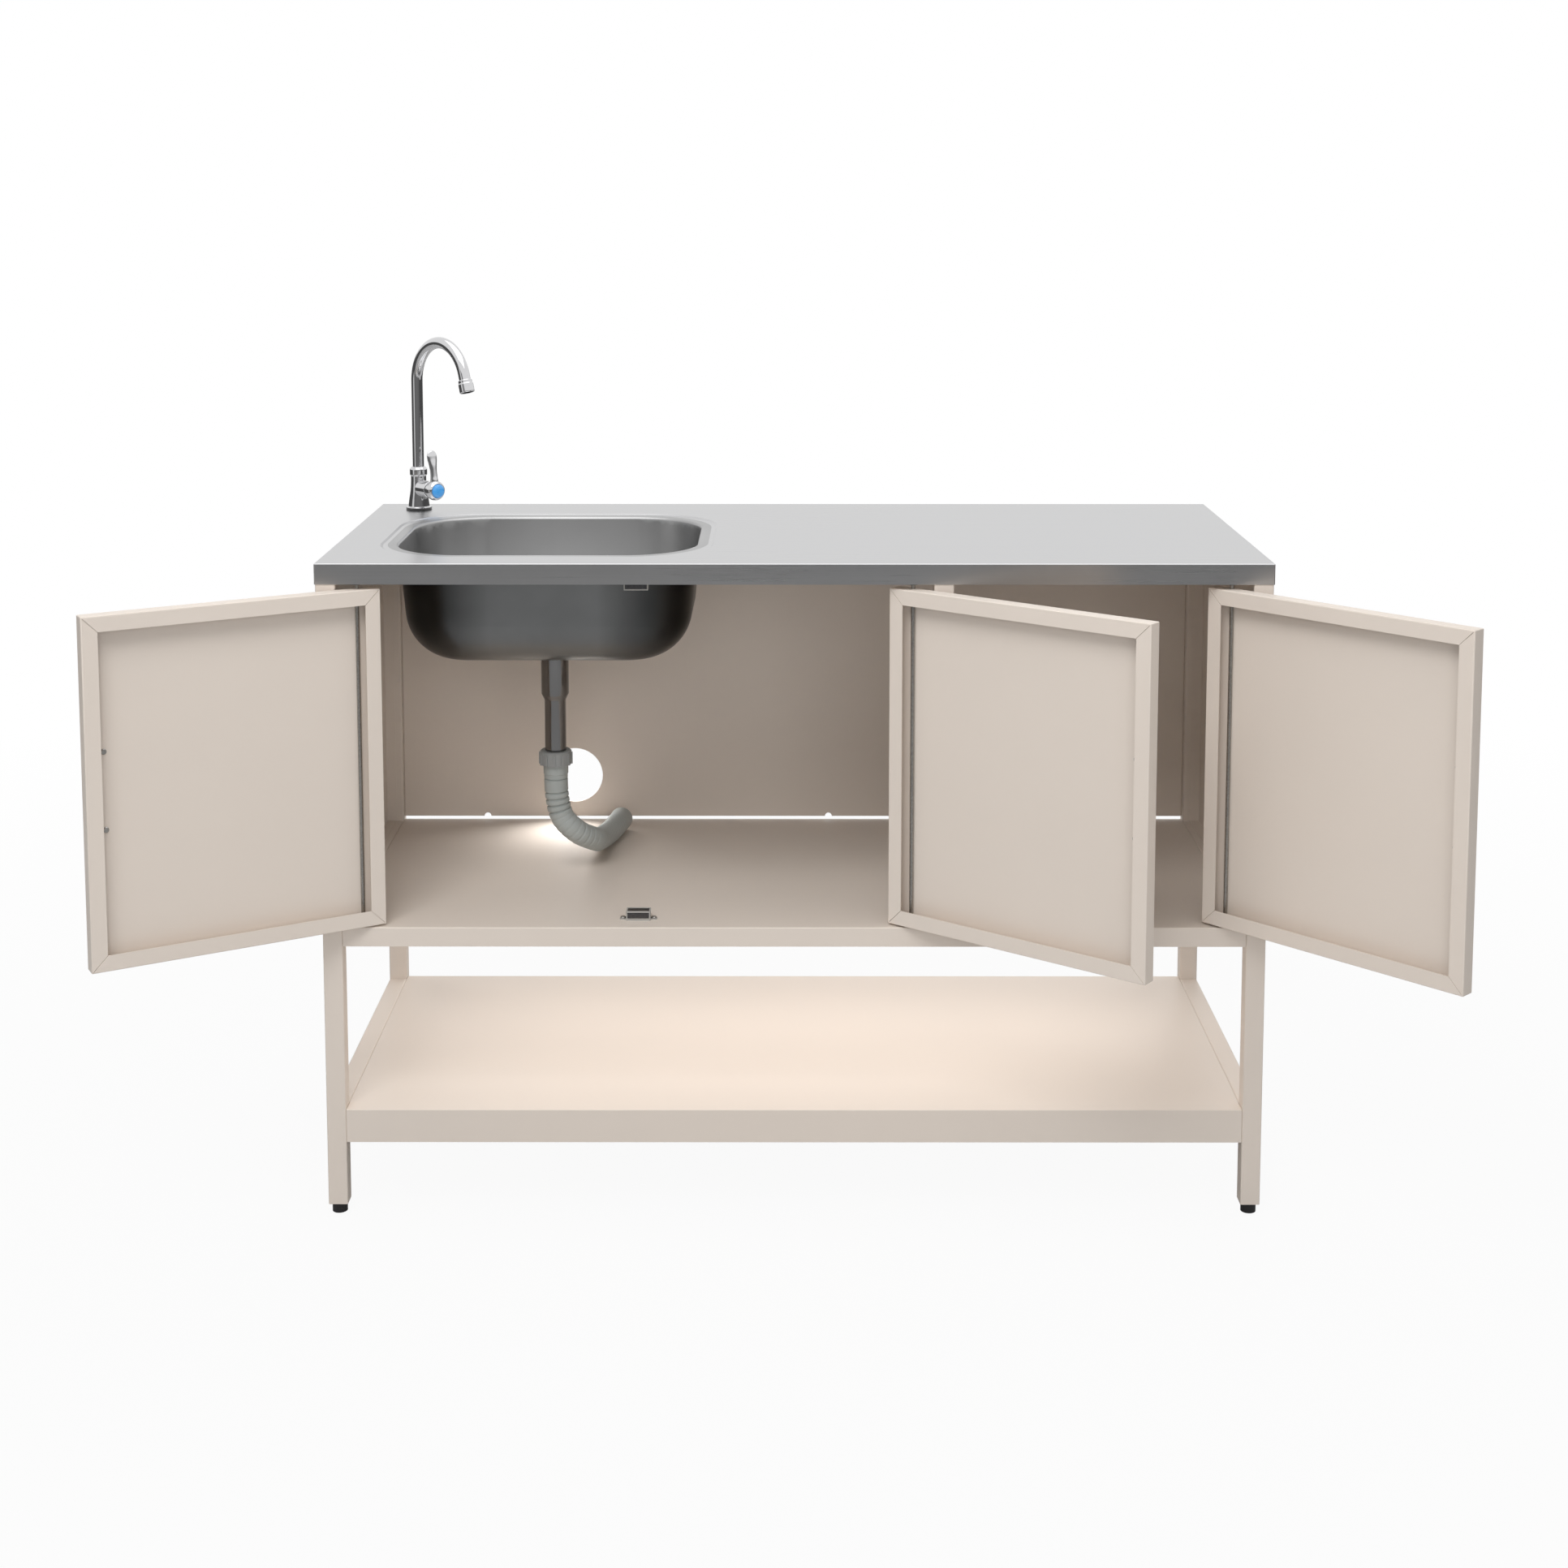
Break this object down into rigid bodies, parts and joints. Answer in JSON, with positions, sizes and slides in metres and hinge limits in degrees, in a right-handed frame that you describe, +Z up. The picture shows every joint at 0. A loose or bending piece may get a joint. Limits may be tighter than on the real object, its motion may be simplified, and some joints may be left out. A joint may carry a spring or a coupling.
{
  "type": "kitchen sink unit",
  "caption": "Free-standing steel sink unit: bowl in a folded worktop on a square-tube frame, cabinet with hinged doors, open lower shelf, swan-neck tap and ribbed drain hose.",
  "frame": {"origin": "on the floor at the centre of the four feet", "axes": "+X to the right seen from the doors, +Y to the back, +Z up; the doors and the worktop's long edge face -Y"},
  "size_m": [1.6411, 0.7513, 1.102],
  "materials": {
    "bowl_steel": "drawn stainless, softly brushed",
    "bush_plastic": "dark nylon",
    "cap_blue": "clear blue cap",
    "catch_plastic": "pale plastic housing",
    "catch_steel": "dark steel plates and magnet",
    "foot_plastic": "black moulded plastic",
    "frame_paint": "satin cream-white powder coat on square steel tube",
    "handle_chrome": "satin chrome bow",
    "hose_plastic": "grey flexible plastic",
    "nut_plastic": "grey moulded plastic",
    "panel_paint": "satin cream-white powder coat on folded sheet",
    "rod_zinc": "zinc-plated rod",
    "screw_zinc": "zinc-plated screw",
    "seal_rubber": "black rubber",
    "tap_brass": "bare threaded brass",
    "tap_chrome": "polished chrome",
    "waste_chrome": "polished plating",
    "worktop_steel": "long-grain brushed stainless sheet"
  },
  "bodies": {
    "frame": {"back_panel": "panel_paint", "cabinet_floor": "panel_paint", "catch_bracket": "panel_paint", "catch_magnets": "catch_steel", "catch_screws": "screw_zinc", "centre_post": "frame_paint", "compression_nut": "nut_plastic", "double_catches": "catch_plastic", "drain_hose": "hose_plastic", "feet": "foot_plastic", "floor_pivot_bushes": "bush_plastic", "front_left_leg": "frame_paint", "front_right_leg": "frame_paint", "front_top_rail": "frame_paint", "head_pivot_bushes": "bush_plastic", "hose_cuff": "hose_plastic", "hose_socket": "hose_plastic", "left_floor_rail": "frame_paint", "left_shelf_rail": "frame_paint", "left_side_panel": "panel_paint", "left_top_rail": "frame_paint", "lower_shelf": "panel_paint", "rear_left_leg": "frame_paint", "rear_right_leg": "frame_paint", "rear_top_rail": "frame_paint", "right_floor_rail": "frame_paint", "right_shelf_rail": "frame_paint", "right_side_panel": "panel_paint", "right_top_rail": "frame_paint", "single_catch": "catch_plastic", "sink_bowl": "bowl_steel", "spout_nut": "tap_chrome", "tailpiece": "waste_chrome", "tap_body": "tap_chrome", "tap_fixing_nut": "tap_brass", "tap_shank": "tap_brass", "tap_washer": "seal_rubber", "waste_body": "waste_chrome", "waste_gasket": "seal_rubber", "waste_locknut": "nut_plastic", "worktop": "worktop_steel", "worktop_stiffeners": "panel_paint"},
    "left_door": {"left_door": "panel_paint", "left_door_rod": "rod_zinc", "left_door_handle": "handle_chrome", "left_door_screws": "screw_zinc"},
    "middle_door": {"middle_door": "panel_paint", "middle_door_rod": "rod_zinc", "middle_door_handle": "handle_chrome", "middle_door_screws": "screw_zinc"},
    "right_door": {"right_door": "panel_paint", "right_door_rod": "rod_zinc", "right_door_handle": "handle_chrome", "right_door_screws": "screw_zinc"},
    "spout": {"spout": "tap_chrome", "aerator": "tap_chrome"},
    "lever": {"tap_lever": "tap_chrome", "tap_cap": "cap_blue", "tap_spindle": "tap_brass"}
  },
  "joints": [
    {"name": "left_door_hinge", "type": "hinge", "parent": "frame", "child": "left_door", "pos_m": [-0.5491, -0.2415, 0.6], "axis": [0, 0, -1], "range_deg": [-150, 2]},
    {"name": "middle_door_hinge", "type": "hinge", "parent": "frame", "child": "middle_door", "pos_m": [0.1491, -0.2415, 0.6], "axis": [0, 0, 1], "range_deg": [-142.5, 9.5]},
    {"name": "right_door_hinge", "type": "hinge", "parent": "frame", "child": "right_door", "pos_m": [0.5491, -0.2415, 0.6], "axis": [0, 0, 1], "range_deg": [-134, 9]},
    {"name": "spout_swivel", "type": "hinge", "parent": "frame", "child": "spout", "pos_m": [-0.54, 0.2, 0.9], "axis": [0, 0, 1], "range_deg": [-120, 120]},
    {"name": "lever_turn", "type": "hinge", "parent": "frame", "child": "lever", "pos_m": [-0.51569, 0.17482, 0.881], "axis": [0.6947, -0.7193, 0], "range_deg": [0, 90]}
  ],
  "couplings": [
    {"joint": "right_door_hinge", "follows": "middle_door_hinge", "ratio": 0.94035}
  ]
}
